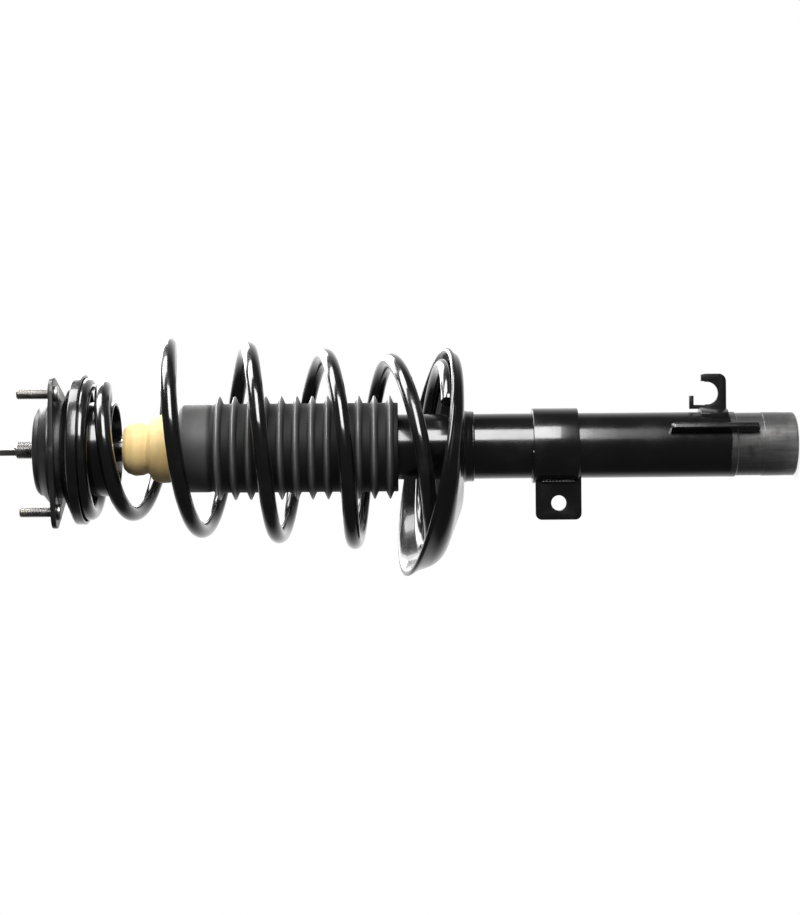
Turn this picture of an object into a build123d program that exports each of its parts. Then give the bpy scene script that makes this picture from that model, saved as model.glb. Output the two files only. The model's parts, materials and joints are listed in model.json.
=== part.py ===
from build123d import *
import math
import os

# Front suspension strut with its coil spring and top mount, millimetres.
# +Z runs up the strut axis from the lower edge of the clamp land to the top mount.
# +X is the side of the brake hose bracket, -X the side of the stabiliser link tab.

# ---------------------------------------------------------------- driving dimensions
TUBE_R = 26.0             # outer radius of the reservoir tube
TUBE_WALL = 2.6
TUBE_BOTTOM = -1.2        # the end chamfer runs from here up to the clamp land
TUBE_TOP = 384.0
CLAMP_R = 25.4            # ground land gripped by the knuckle
CLAMP_TOP = 25.0
RELIEF_R = 25.1           # land beside the blade, a little under the clamp land
RELIEF_TOP = 46.0

ROD_R = 10.0
ROD_SHOULDER_Z = 578.0
ROD_THREAD_R = 7.0
ROD_THREAD_TOP = 620.0
ROD_TIP_TOP = 635.0
ROD_TIP_FLATS = 9.0
PISTON_SPIGOT_R = 6.0
ROD_BOTTOM = 306.0
PISTON_TOP = 334.0

CYL_R_IN = 15.0           # bore of the pressure tube
CYL_R_OUT = 17.0
CYL_BOTTOM = 14.0
CYL_TOP = 352.0
GUIDE_BOTTOM = 340.0
GUIDE_TOP = 366.0

WIRE_R = 6.25
COIL_TURNS = 6.15
COIL_POINTS_PER_TURN = 12
COIL_KNOTS_PER_TURN = 4
# height of the wire centre and mean coil radius at every quarter turn, counted down from the top
# end; the first entry and the last two lie past the ends and only shape the curve there
COIL_KNOTS = [
    (563.4, 50.9),
    (563.0, 50.9), (562.5, 50.7), (561.0, 50.3), (557.5, 49.5),
    (550.1, 48.3), (542.5, 49.5), (528.0, 55.0), (509.5, 66.5),
    (497.6, 76.0), (487.0, 74.5), (471.2, 72.0), (454.5, 71.5),
    (434.5, 72.5), (420.0, 73.5), (410.3, 74.5), (396.5, 73.5),
    (373.0, 72.0), (355.5, 72.5), (350.0, 73.5), (340.5, 74.0),
    (320.6, 74.5), (295.0, 74.0), (285.0, 74.0), (275.0, 74.0),
    (262.0, 74.0), (250.0, 74.0), (240.0, 74.0),
]
COIL_LEAN_BOTTOM_Z = 290.0
COIL_LEAN_TOP_Z = 555.0
COIL_LEAN = 11.0          # sideways offset of the bottom coil
COIL_LEAN_DIR = (-0.87, 0.49)
COIL_LEAN_SLOPES = (-0.15, 0.20)

DISH_BASE_Z = 263.2       # underside of the flat middle of the lower seat
DISH_BASE_R = 47.0
DISH_WALL = 2.8
DISH_SHELF = (-10.0, 5.0, 275.0)     # centre of the shelf's outer edge
DISH_SHELF_R = 84.0
DISH_SHELF_SLOPE = (-0.097, 0.100)   # rise per mm along X and Y
DISH_RIM = (-12.0, 6.0, 294.0)
DISH_RIM_R = 93.0
DISH_RIM_SLOPE = (-0.185, 0.155)
PAD_TOP_Z = 279.0         # flat top of the lower pad, over the shelf centre

BOOT_BOTTOM = 314.5
BOOT_BELLOWS_TOP = 463.0
BOOT_TOP = 489.0
BOOT_RIBS = 12
BOOT_CREST_R = 41.5
BOOT_VALLEY_R = 35.5
BOOT_COLLAR_R = 35.0
BOOT_WALL = 1.6

BUMP_BOTTOM = 480.0
BUMP_TOP = 534.0
BUMP_BORE_R = 10.4

SEAT_LIP_R = 60.0
SEAT_CUP_R = 37.5
SEAT_CUP_MOUTH = 540.0
SEAT_WALL = 2.5

BALL_R = 2.5
BALL_COUNT = 24
BALL_PITCH_R = 31.0
BALL_Z = 578.5
BALL_GAP = 0.3

PLATE_BOTTOM = 584.0
PLATE_TOP = 588.0
STUD_PITCH_R = 54.0
STUD_ANGLES = (-36.0, 84.0, 204.0)
STUD_R = 4.0
STUD_TOP = 614.0
LOBE_R = 13.0
HUB_TOP = 602.5
HUB_MOUTH_R = 19.0

LINK_BAND_BOTTOM = 172.0
LINK_BAND_TOP = 208.0
LINK_BAND_R = 30.0
LINK_TAB_Y = -8.0
LINK_TAB_T = 5.0
LINK_TAB_END = -59.0
LINK_TAB_BOTTOM = 169.5
LINK_TAB_TOP = 206.0
LINK_HOLE_X = -45.6
LINK_HOLE_Z = 187.6
LINK_HOLE_R = 6.0

HOSE_X = 41.0             # centre of the hose clip
HOSE_Z = 68.0
HOSE_CLIP_R = 9.0
HOSE_CLIP_R_OUT = 15.5
HOSE_PLATE_T = 3.5

BLADE_BOTTOM = 30.0
BLADE_TOP = 100.0
BLADE_T = 4.5
BLADE_R_OUT = 36.0
BLADE_ANGLE = -65.0       # from +X toward +Y, so the blade faces -Y and a little +X


# ---------------------------------------------------------------- helpers
def turned(*points):
    """Solid of revolution about Z from a closed outline of (radius, height) points."""
    outline = make_face(Polyline(*points, close=True))
    return revolve(Plane.XZ * outline, Axis.Z)


def ring(r_in, r_out, z0, z1):
    """Plain ring between two radii and two heights."""
    return turned((r_in, z0), (r_out, z0), (r_out, z1), (r_in, z1))


def disc(r, z0, z1):
    return Pos(0, 0, (z0 + z1) / 2) * Cylinder(r, z1 - z0)


def polar(r, degrees):
    a = math.radians(degrees)
    return r * math.cos(a), r * math.sin(a)


def block(x0, x1, y0, y1, z0, z1):
    """Box between two corners."""
    centre = Pos((x0 + x1) / 2, (y0 + y1) / 2, (z0 + z1) / 2)
    return centre * Box(x1 - x0, y1 - y0, z1 - z0)


def tilted(centre, slope):
    """Plane through a centre that rises by the given slopes along X and Y."""
    return Plane(origin=centre, z_dir=(-slope[0], -slope[1], 1.0))


# ---------------------------------------------------------------- strut body
def strut_tube():
    r_in = TUBE_R - TUBE_WALL
    lip_r, lip_t = 20.0, 2.6
    return turned(
        (r_in, TUBE_BOTTOM), (CLAMP_R + TUBE_BOTTOM, TUBE_BOTTOM), (CLAMP_R, 0), (CLAMP_R, CLAMP_TOP),
        (RELIEF_R, CLAMP_TOP), (RELIEF_R, RELIEF_TOP), (TUBE_R, RELIEF_TOP + 0.7),
        (TUBE_R, TUBE_TOP - 1.5), (TUBE_R - 1.5, TUBE_TOP), (lip_r, TUBE_TOP),
        (lip_r, TUBE_TOP - lip_t), (r_in, TUBE_TOP - lip_t),
    )


def bottom_cap():
    r = TUBE_R - TUBE_WALL
    return turned((0, -2.8), (12, -2.8), (18, -2.0), (r, -0.4), (r, 6), (0, 6))


def pressure_tube():
    return ring(CYL_R_IN, CYL_R_OUT, CYL_BOTTOM, CYL_TOP)


def base_valve_body():
    foot_z, spigot_top, foot_r, bore_r = 6.0, 20.0, 20.0, 3.0
    body = turned((bore_r, foot_z), (foot_r, foot_z), (foot_r, CYL_BOTTOM), (CYL_R_IN, CYL_BOTTOM),
                  (CYL_R_IN, spigot_top), (bore_r, spigot_top))
    for angle in range(0, 360, 60):     # oil passages to the reservoir and through the spigot
        x, y = polar(CYL_R_OUT + 1.5, angle)
        body -= Pos(x, y, foot_z) * Box(5, 5, 6)
        x, y = polar(9.0, angle)
        body -= Pos(x, y, (foot_z + spigot_top) / 2) * Cylinder(1.5, 20)
    return body


def base_valve_discs():
    return ring(3.0, 11.0, 20.0, 21.2)


def base_valve_bolt():
    return disc(3.0, 6.0, 21.2) + disc(5.0, 21.2, 24.5)


def rod_guide():
    flange_r = TUBE_R - TUBE_WALL
    bush_r, seal_r, pocket_z = 12.0, 13.0, 360.0
    return turned((bush_r, GUIDE_BOTTOM), (CYL_R_IN, GUIDE_BOTTOM), (CYL_R_IN, CYL_TOP),
                  (flange_r, CYL_TOP), (flange_r, GUIDE_TOP), (seal_r, GUIDE_TOP),
                  (seal_r, pocket_z), (bush_r, pocket_z))


def rod_guide_bush():
    return ring(ROD_R + 0.04, 12.0, GUIDE_BOTTOM, 360.0)


def rod_seal():
    r_out, top, groove_z = 22.0, 381.4, 371.0
    seal = turned((ROD_R + 0.06, GUIDE_TOP), (r_out, GUIDE_TOP), (r_out, top), (14.0, top), (11.5, 376),
                  (ROD_R + 0.06, 373))
    return seal - Pos(0, 0, groove_z) * Torus(13.0, 1.0)


def seal_garter_spring():
    return Pos(0, 0, 371.0) * Torus(13.0, 0.95)


def striker_cap():
    skirt_bottom, top, r_out, bore = 366.0, 386.0, 28.0, 12.0
    return turned((TUBE_R, skirt_bottom), (r_out, skirt_bottom), (r_out, top - 2), (r_out - 2, top),
                  (bore, top), (bore, TUBE_TOP), (TUBE_R, TUBE_TOP))


def dish(inset, base_z):
    """Solid bounded by one skin of the lower seat; inset moves that skin in and up."""
    shelf = (DISH_SHELF[0], DISH_SHELF[1], DISH_SHELF[2] + inset)
    rim = (DISH_RIM[0], DISH_RIM[1], DISH_RIM[2] + (0.5 if inset else 0.0))
    sections = [
        Plane(origin=(0, 0, base_z)) * Circle(DISH_BASE_R),
        tilted(shelf, DISH_SHELF_SLOPE) * Circle(DISH_SHELF_R - 0.8 * inset),
        tilted(rim, DISH_RIM_SLOPE) * Circle(DISH_RIM_R - 0.9 * inset),
    ]
    return loft(sections, ruled=True)


def lower_spring_seat():
    neck_bottom, neck_r = 256.0, 28.2
    shell = dish(0.0, DISH_BASE_Z) - dish(DISH_WALL, DISH_BASE_Z + DISH_WALL)
    neck = disc(neck_r, neck_bottom, DISH_BASE_Z + 1.0)
    return shell + neck - disc(TUBE_R, 240, 300)


def lower_spring_pad():
    r_in, r_out, depth = 61.0, 81.0, 30.0
    top = (DISH_SHELF[0], DISH_SHELF[1], PAD_TOP_Z)
    annulus = Circle(r_out) - Circle(r_in)
    slab = extrude(tilted(top, DISH_SHELF_SLOPE) * annulus, amount=-depth)
    return slab & dish(DISH_WALL + 0.05, DISH_BASE_Z + DISH_WALL + 0.05)


def smooth_step(a, b, c, d, t):
    """Catmull-Rom curve from b to c, with a and d the neighbours."""
    return b + 0.5 * t * (c - a + t * (2 * a - 5 * b + 4 * c - d + t * (3 * (b - c) + d - a)))


def coil_lean(z):
    """Sideways offset of the coil centre at a height."""
    span = COIL_LEAN_TOP_Z - COIL_LEAN_BOTTOM_Z
    u = min(1.0, max(0.0, (z - COIL_LEAN_BOTTOM_Z) / span))
    start, end = COIL_LEAN_SLOPES
    return (COIL_LEAN * (2 * u**3 - 3 * u**2 + 1) + start * span * (u**3 - 2 * u**2 + u)
            + end * span * (u**3 - u**2))


def coil_point(turn):
    """Centre of the wire after so many turns down from the top end."""
    step, t = divmod(turn * COIL_KNOTS_PER_TURN, 1)
    near = COIL_KNOTS[int(step):int(step) + 4]
    z = smooth_step(*[p[0] for p in near], t)
    r = smooth_step(*[p[1] for p in near], t)
    lean = coil_lean(z)
    angle = 2 * math.pi * turn
    x = r * math.cos(angle) + lean * COIL_LEAN_DIR[0]
    y = -r * math.sin(angle) + lean * COIL_LEAN_DIR[1]
    # the wire never goes below the flat top of the pad
    rest = (PAD_TOP_Z + WIRE_R + 0.3 + DISH_SHELF_SLOPE[0] * (x - DISH_SHELF[0])
            + DISH_SHELF_SLOPE[1] * (y - DISH_SHELF[1]))
    z = (z + rest + math.sqrt((z - rest) ** 2 + 4.0)) / 2
    return x, y, z


def coil_spring():
    count = round(COIL_TURNS * COIL_POINTS_PER_TURN)
    path = Spline(*[coil_point(COIL_TURNS * i / count) for i in range(count + 1)])
    section = Plane(origin=path @ 0, z_dir=path % 0) * Circle(WIRE_R)
    wire = sweep(section, path=path)
    print("coil wire length", round(path.length, 1), "volume ratio",
          round(wire.volume / (math.pi * WIRE_R**2 * path.length), 4))
    return wire


def stabiliser_bracket():
    band = ring(TUBE_R, LINK_BAND_R, LINK_BAND_BOTTOM, LINK_BAND_TOP)
    y0, y1 = LINK_TAB_Y - LINK_TAB_T / 2, LINK_TAB_Y + LINK_TAB_T / 2
    tab = block(LINK_TAB_END, -20, y0, y1, LINK_TAB_BOTTOM, LINK_TAB_TOP)
    outer_edges = tab.edges().filter_by(Axis.Y).group_by(Axis.X)[0]
    tab = fillet(outer_edges, 5.0)
    tab -= Pos(LINK_HOLE_X, LINK_TAB_Y, LINK_HOLE_Z) * Rot(90, 0, 0) * Cylinder(LINK_HOLE_R, 20)
    return band + (tab - disc(TUBE_R + 0.5, 150, 220))


def brake_hose_bracket():
    """Flat C-shaped clip plate that opens up the strut, on a saddle that follows the tube."""
    half = HOSE_PLATE_T / 2
    clip = Cylinder(HOSE_CLIP_R_OUT, HOSE_PLATE_T) - Cylinder(HOSE_CLIP_R, HOSE_PLATE_T * 2)
    clip = Pos(HOSE_X, 0, HOSE_Z) * Rot(90, 0, 0) * clip
    mouth = block(HOSE_X - 20, HOSE_X + 9.5, -9, 9, HOSE_Z + 1.5, HOSE_Z + 20)
    trim = block(HOSE_X + 9, HOSE_X + 20, -9, 9, HOSE_Z + 4.5, HOSE_Z + 20)
    # the outside of the loop is square where it turns from the stem into the upper arm
    corner = block(HOSE_X, HOSE_X + HOSE_CLIP_R_OUT, -half, half, HOSE_Z - HOSE_CLIP_R_OUT, HOSE_Z)
    corner = fillet(corner.edges().filter_by(Axis.Y).group_by(Axis.X)[-1].sort_by(Axis.Z)[0], 6.0)
    stem = block(TUBE_R + 1, HOSE_X, -half, half, HOSE_Z - HOSE_CLIP_R_OUT, HOSE_Z)
    clip += (corner + stem) - Pos(HOSE_X, 0, HOSE_Z) * Rot(90, 0, 0) * Cylinder(HOSE_CLIP_R, 20)
    arm_x0, arm_x1, tip_x = TUBE_R + 2.4, TUBE_R + 5.6, TUBE_R + 13.0
    lower_arm = block(arm_x0, arm_x1, -half, half, HOSE_Z - 10, HOSE_Z + 14)
    tip = block(arm_x0, tip_x, -half, half, HOSE_Z + 10.5, HOSE_Z + 14)
    plate = clip - mouth - trim + lower_arm + tip
    saddle_t = 3.0
    plate -= disc(TUBE_R + saddle_t / 2, 40, 100)
    saddle = ring(TUBE_R, TUBE_R + saddle_t, 52.5, 74.0) & block(12, 40, -15, 17, 50, 80)
    return plate + saddle


def locating_blade():
    blade = block(TUBE_R - 0.6, BLADE_R_OUT, -BLADE_T / 2, BLADE_T / 2, BLADE_BOTTOM, BLADE_TOP)
    corners = blade.edges().filter_by(Axis.Y).group_by(Axis.X)[-1]
    blade = fillet(corners, 3.0)
    return Rot(0, 0, BLADE_ANGLE) * blade - disc(TUBE_R, 0, 120)


def dust_boot():
    """Bellows with a plain collar; the collar's top lip sits in the bump stop's groove."""
    pitch = (BOOT_BELLOWS_TOP - BOOT_BOTTOM) / BOOT_RIBS
    outer = []
    for i in range(BOOT_RIBS):
        z = BOOT_BOTTOM + i * pitch
        outer += [(BOOT_VALLEY_R, z + 0.02 * pitch), (BOOT_VALLEY_R, z + 0.30 * pitch),
                  (BOOT_CREST_R, z + 0.51 * pitch), (BOOT_CREST_R, z + 0.59 * pitch),
                  (BOOT_VALLEY_R, z + 0.80 * pitch)]
    outer += [(BOOT_VALLEY_R - 1, BOOT_BELLOWS_TOP), (BOOT_COLLAR_R, BOOT_BELLOWS_TOP + 4)]
    inner = [(r - BOOT_WALL, z) for r, z in reversed(outer)]
    lip_r = 18.5
    top = [(BOOT_COLLAR_R, BOOT_TOP - 3), (BOOT_COLLAR_R - 3, BOOT_TOP), (lip_r, BOOT_TOP),
           (lip_r, BOOT_TOP - BOOT_WALL), (BOOT_COLLAR_R - 4, BOOT_TOP - BOOT_WALL),
           (BOOT_COLLAR_R - BOOT_WALL, BOOT_TOP - 4)]
    return turned(*outer, *top, *inner)


# ---------------------------------------------------------------- bump stop
def bump_stop():
    """Foam stop with a groove near its lower end that holds the boot's lip."""
    groove_r = 18.0
    return turned(
        (BUMP_BORE_R, BUMP_BOTTOM), (17, BUMP_BOTTOM), (20, BUMP_BOTTOM + 2.5), (20, BOOT_TOP - 2.6),
        (groove_r, BOOT_TOP - 2.4), (groove_r, BOOT_TOP + 0.4), (23, BOOT_TOP + 1.5), (27, 498),
        (27.5, 505), (25, 511), (19, 514.5), (21, 519), (21.5, 525), (19, 531), (16, BUMP_TOP),
        (BUMP_BORE_R, BUMP_TOP),
    )


# ---------------------------------------------------------------- upper seat
def upper_spring_seat():
    hole_r, floor_z, floor_t = 22.0, 570.0, 3.0
    wall_r, wall_top = 41.5, 580.0
    cone_r, cone_z, cone_t = 57.5, 573.0, 2.7
    lip_bottom = 564.0
    cup_r_in = SEAT_CUP_R - SEAT_WALL
    return turned(
        (cup_r_in, SEAT_CUP_MOUTH), (SEAT_CUP_R, SEAT_CUP_MOUTH), (SEAT_CUP_R, floor_z - 1),
        (wall_r + 0.5, floor_z), (wall_r + 1.0, wall_top - cone_t - 0.6), (cone_r, cone_z - cone_t),
        (cone_r, lip_bottom), (SEAT_LIP_R, lip_bottom), (SEAT_LIP_R, cone_z - 1.5), (cone_r, cone_z),
        (wall_r, wall_top), (wall_r - SEAT_WALL, wall_top), (wall_r - SEAT_WALL, floor_z + floor_t),
        (hole_r, floor_z + floor_t), (hole_r, floor_z), (cup_r_in, floor_z),
    )


def upper_spring_pad():
    r_in, r_out, bottom = 44.0, 57.3, 569.4
    return turned((r_in, bottom), (r_out, bottom), (r_out, 570.25), (r_in, 576.0))


def race(z_flat, z_back):
    """One bearing ring with a ball groove that leaves a small gap round the balls."""
    r_in, r_out = 24.0, 38.6
    groove = Pos(0, 0, BALL_Z) * Torus(BALL_PITCH_R, BALL_R + BALL_GAP)
    return ring(r_in, r_out, min(z_flat, z_back), max(z_flat, z_back)) - groove


def bearing_lower_race():
    return race(577.4, 573.0)


def bearing_upper_race():
    return race(579.6, PLATE_BOTTOM)


def bearing_seal():
    return ring(37.0, 38.6, 577.4, 579.2)


# ---------------------------------------------------------------- bearing cage
def ball_places():
    return [polar(BALL_PITCH_R, 360.0 * i / BALL_COUNT) for i in range(BALL_COUNT)]


def bearing_balls():
    return Compound(children=[Pos(x, y, BALL_Z) * Sphere(BALL_R) for x, y in ball_places()])


def bearing_cage_ring():
    cage = ring(27.0, 35.0, BALL_Z - 0.7, BALL_Z + 0.7)
    for x, y in ball_places():
        cage -= Pos(x, y, BALL_Z) * Cylinder(BALL_R + 0.15, 5)
    return cage


# ---------------------------------------------------------------- top mount
def stud_places():
    return [polar(STUD_PITCH_R, a) for a in STUD_ANGLES]


def mount_plate():
    """Rounded triangular plate; its three corners carry the studs."""
    circles = [Pos(x, y) * Circle(LOBE_R) for x, y in stud_places()] + [Circle(47.0)]
    outline = make_hull([c.edge() for c in circles])
    plate = Pos(0, 0, PLATE_BOTTOM) * extrude(outline, amount=PLATE_TOP - PLATE_BOTTOM)
    plate -= disc(33.0, PLATE_BOTTOM - 1, PLATE_TOP + 1)
    for x, y in stud_places():
        plate -= Pos(x, y, PLATE_BOTTOM) * Cylinder(STUD_R + 0.6, 20)
    return plate


def mount_cover():
    """Pressed dome over the rubber, flared out onto the plate."""
    return turned(
        (33.0, PLATE_TOP), (46.0, PLATE_TOP), (46.0, 590.3), (39.0, 596.0), (36.8, 598.0),
        (36.2, 600.5), (34.2, HUB_TOP), (HUB_MOUTH_R, HUB_TOP), (HUB_MOUTH_R, 600.3),
        (33.0, 600.3), (33.8, 597.8), (36.0, 595.0), (41.5, 590.8), (41.5, 590.2), (33.0, 590.2),
    )


def mount_rubber():
    """Ring bonded between the dome and the inner sleeve, recessed at the top for the nut."""
    return turned((13.5, 586.0), (32.4, 586.0), (32.4, 600.1), (20.5, 600.1), (19.5, 592.2),
                  (24.0, 592.2), (24.0, 589.2), (13.5, 589.2))


def mount_inner_sleeve():
    return turned((ROD_THREAD_R, 580.5), (13.5, 580.5), (13.5, 589.2), (24.0, 589.2), (24.0, 592.2),
                  (ROD_THREAD_R, 592.2))


def mount_support_washer():
    return ring(ROD_THREAD_R, 18.0, ROD_SHOULDER_Z, 580.5)


def mount_studs():
    studs = []
    for x, y in stud_places():
        stud = disc(STUD_R, 584.0, STUD_TOP - 1) + disc(6.5, 581.5, 584.0)
        stud += disc(STUD_R + 0.6, 584.0, PLATE_TOP)
        stud += turned((0, STUD_TOP - 1), (STUD_R, STUD_TOP - 1), (STUD_R - 1, STUD_TOP), (0, STUD_TOP))
        studs.append(Pos(x, y, 0) * stud)
    return Compound(children=studs)


def rod_washer():
    return ring(ROD_THREAD_R, 17.0, 592.2, 594.7)


def rod_nut():
    bottom, height, across_flats, flange_r = 594.7, 9.5, 21.0, 14.0
    hexagon = extrude(RegularPolygon(across_flats / 2, 6, major_radius=False), amount=height)
    nut = Pos(0, 0, bottom) * hexagon + disc(flange_r, bottom, bottom + 2)
    return nut - disc(ROD_THREAD_R, bottom - 1, bottom + height + 1)


def piston_rod():
    rod = turned((0, ROD_BOTTOM), (PISTON_SPIGOT_R, ROD_BOTTOM), (PISTON_SPIGOT_R, PISTON_TOP),
                 (ROD_R, PISTON_TOP), (ROD_R, ROD_SHOULDER_Z), (ROD_THREAD_R, ROD_SHOULDER_Z),
                 (ROD_THREAD_R, ROD_THREAD_TOP - 1), (ROD_THREAD_R - 1, ROD_THREAD_TOP),
                 (0, ROD_THREAD_TOP))
    tip = extrude(RegularPolygon(ROD_TIP_FLATS / 2, 6, major_radius=False),
                  amount=ROD_TIP_TOP - ROD_THREAD_TOP)
    return rod + Pos(0, 0, ROD_THREAD_TOP) * tip


def bump_stop_cup():
    """Pressed cup on the rod that the bump stop meets when the strut is fully compressed."""
    hub_r, skirt_in, skirt_out = 14.0, 26.0, 28.0
    return turned((ROD_R, 566), (skirt_in, 566), (skirt_in, 556), (skirt_out, 556), (skirt_out, 569),
                  (hub_r, 569), (hub_r, ROD_SHOULDER_Z), (ROD_R, ROD_SHOULDER_Z))


def piston():
    body = turned((PISTON_SPIGOT_R, 317), (14.6, 317), (14.6, 319), (14.0, 319), (14.0, 329),
                  (14.6, 329), (14.6, 331), (PISTON_SPIGOT_R, 331))
    for angle in range(0, 360, 45):
        x, y = polar(10.0, angle)
        body -= Pos(x, y, 324) * Cylinder(1.3, 30)
    return body


def piston_band():
    return ring(14.0, CYL_R_IN - 0.05, 319.0, 329.0)


def piston_shims():
    lower = ring(PISTON_SPIGOT_R, 12.0, 315.6, 317.0)
    upper = ring(PISTON_SPIGOT_R, 12.0, 331.0, 332.4)
    return Compound(children=[lower, upper])


def piston_nut():
    nut = Pos(0, 0, 308.6) * extrude(RegularPolygon(8.5, 6, major_radius=False), amount=7)
    return nut - disc(PISTON_SPIGOT_R, 300, 320)


def piston_washer():
    return ring(PISTON_SPIGOT_R, 13.0, 332.4, PISTON_TOP)


def rebound_stop():
    return ring(ROD_R, 13.6, PISTON_TOP, GUIDE_BOTTOM - 0.5)


NODES = [
    strut_tube, bottom_cap, lower_spring_seat, lower_spring_pad, coil_spring, stabiliser_bracket,
    brake_hose_bracket, locating_blade, pressure_tube, base_valve_body, base_valve_discs,
    base_valve_bolt, rod_guide, rod_guide_bush, rod_seal, seal_garter_spring, striker_cap, dust_boot,
    bump_stop, upper_spring_seat, upper_spring_pad, bearing_lower_race, bearing_upper_race,
    bearing_seal, bearing_balls, bearing_cage_ring, mount_plate, mount_cover, mount_rubber,
    mount_inner_sleeve, mount_support_washer, mount_studs, rod_washer, rod_nut, piston_rod,
    bump_stop_cup, piston, piston_band, piston_shims, piston_nut, piston_washer, rebound_stop,
]

os.makedirs("parts", exist_ok=True)
for make in NODES:
    export_step(make(), f"parts/{make.__name__}.step")
print(len(NODES), "nodes written")
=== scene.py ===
import json
import math

import bmesh
import bpy
import numpy as np
from mathutils import Matrix, Vector


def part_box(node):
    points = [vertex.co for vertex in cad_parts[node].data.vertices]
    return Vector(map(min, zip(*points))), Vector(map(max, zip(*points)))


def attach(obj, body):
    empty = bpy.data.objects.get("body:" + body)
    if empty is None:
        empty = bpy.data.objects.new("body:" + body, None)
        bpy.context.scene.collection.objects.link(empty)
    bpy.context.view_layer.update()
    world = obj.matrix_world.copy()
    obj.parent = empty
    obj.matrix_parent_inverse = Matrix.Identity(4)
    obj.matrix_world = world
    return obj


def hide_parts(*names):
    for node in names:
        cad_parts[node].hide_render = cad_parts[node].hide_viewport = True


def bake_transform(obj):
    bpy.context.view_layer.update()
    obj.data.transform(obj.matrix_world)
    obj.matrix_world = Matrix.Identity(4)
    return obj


# Looks of a suspension strut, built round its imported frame.
# Outlines are in millimetres, (radius, height) or (x, y, z) in the row frame; meshes are made in metres.

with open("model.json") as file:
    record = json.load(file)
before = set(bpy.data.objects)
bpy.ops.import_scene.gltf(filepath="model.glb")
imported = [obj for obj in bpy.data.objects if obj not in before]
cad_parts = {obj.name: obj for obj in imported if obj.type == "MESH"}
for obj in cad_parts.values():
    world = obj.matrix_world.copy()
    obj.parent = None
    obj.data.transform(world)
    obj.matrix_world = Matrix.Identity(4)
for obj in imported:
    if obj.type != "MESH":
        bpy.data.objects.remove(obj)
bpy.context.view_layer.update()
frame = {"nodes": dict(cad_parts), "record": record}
MM = 0.001
nodes = frame["nodes"]
mounts = {m["name"]: m for m in frame["record"]["mounts"]}


# ---------------------------------------------------------------- measures read from the frame
def span(node):
    """Lowest and highest corner of a CAD node, in millimetres."""
    low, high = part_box(node)
    return low / MM, high / MM


tube_low, tube_high = span("strut_tube")
TUBE_R = tube_high.x
TUBE_BOTTOM = tube_low.z
TUBE_TOP = tube_high.z
CLAMP_R = mounts["knuckle_clamp"]["dims"]["r_mm"]
CLAMP_TOP = mounts["knuckle_clamp"]["dims"]["length_mm"]
ROD_R = span("piston_rod")[1].x
STUD_R = mounts["top_studs"]["dims"]["stud_r_mm"]
STUD_PITCH_R = mounts["top_studs"]["dims"]["pcd_mm"] / 2
STUD_TOP = span("mount_studs")[1].z
PLATE_HIGH = span("mount_plate")[1].z
HUB_TOP = span("mount_cover")[1].z
BOOT_LOW, BOOT_HIGH = span("dust_boot")[0].z, span("dust_boot")[1].z
BOOT_CREST_R = span("dust_boot")[1].x
BUMP_LOW, BUMP_HIGH = span("bump_stop")[0].z, span("bump_stop")[1].z
SEAT_LIP_R = span("upper_spring_seat")[1].x
SEAT_MOUTH = span("upper_spring_seat")[0].z
SEAT_TOP = span("upper_spring_seat")[1].z
WIRE_R = 6.25

STUD_ANGLES = (-36.0, 84.0, 204.0)
COIL_TURNS = 6.15
COIL_KNOTS_PER_TURN = 4
# height of the wire centre and mean coil radius at every quarter turn, as in the CAD model
COIL_KNOTS = [
    (563.4, 50.9),
    (563.0, 50.9), (562.5, 50.7), (561.0, 50.3), (557.5, 49.5),
    (550.1, 48.3), (542.5, 49.5), (528.0, 55.0), (509.5, 66.5),
    (497.6, 76.0), (487.0, 74.5), (471.2, 72.0), (454.5, 71.5),
    (434.5, 72.5), (420.0, 73.5), (410.3, 74.5), (396.5, 73.5),
    (373.0, 72.0), (355.5, 72.5), (350.0, 73.5), (340.5, 74.0),
    (320.6, 74.5), (295.0, 74.0), (285.0, 74.0), (275.0, 74.0),
    (262.0, 74.0), (250.0, 74.0), (240.0, 74.0),
]
COIL_LEAN_BOTTOM_Z = 290.0
COIL_LEAN_TOP_Z = 555.0
COIL_LEAN = 11.0
COIL_LEAN_DIR = (-0.87, 0.49)
COIL_LEAN_SLOPES = (-0.15, 0.20)
DISH_BASE_Z = 263.2
DISH_BASE_R = 47.0
DISH_SHELF = (-10.0, 5.0, 275.0)
DISH_SHELF_R = 84.0
DISH_SHELF_SLOPE = (-0.097, 0.100)
DISH_RIM = (-12.0, 6.0, 294.0)
DISH_RIM_R = 93.0
DISH_RIM_SLOPE = (-0.185, 0.155)
PAD_TOP_Z = 279.0


# ---------------------------------------------------------------- mesh helpers
def piece(name, verts, faces, body, material, replaced=(), sharp=38.0):
    """A closed mesh in millimetres becomes a piece that rides on a body, or on none yet."""
    mesh = bpy.data.meshes.new(name)
    mesh.from_pydata([tuple(c * MM for c in v) for v in verts], [], faces)
    return finish_piece(name, mesh, body, material, replaced, sharp)


def finish_piece(name, mesh, body, material, replaced=(), sharp=38.0):
    bm = bmesh.new()
    bm.from_mesh(mesh)
    bmesh.ops.remove_doubles(bm, verts=bm.verts, dist=1e-6)
    bmesh.ops.recalc_face_normals(bm, faces=bm.faces)
    bm.to_mesh(mesh)
    bm.free()
    mesh.shade_smooth()
    mesh.set_sharp_from_angle(angle=math.radians(sharp))
    mesh.materials.clear()
    mesh.materials.append(material)
    obj = bpy.data.objects.new(name, mesh)
    bpy.context.scene.collection.objects.link(obj)
    if body:
        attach(obj, body)
    if replaced:
        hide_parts(*replaced)
    return obj


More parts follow.
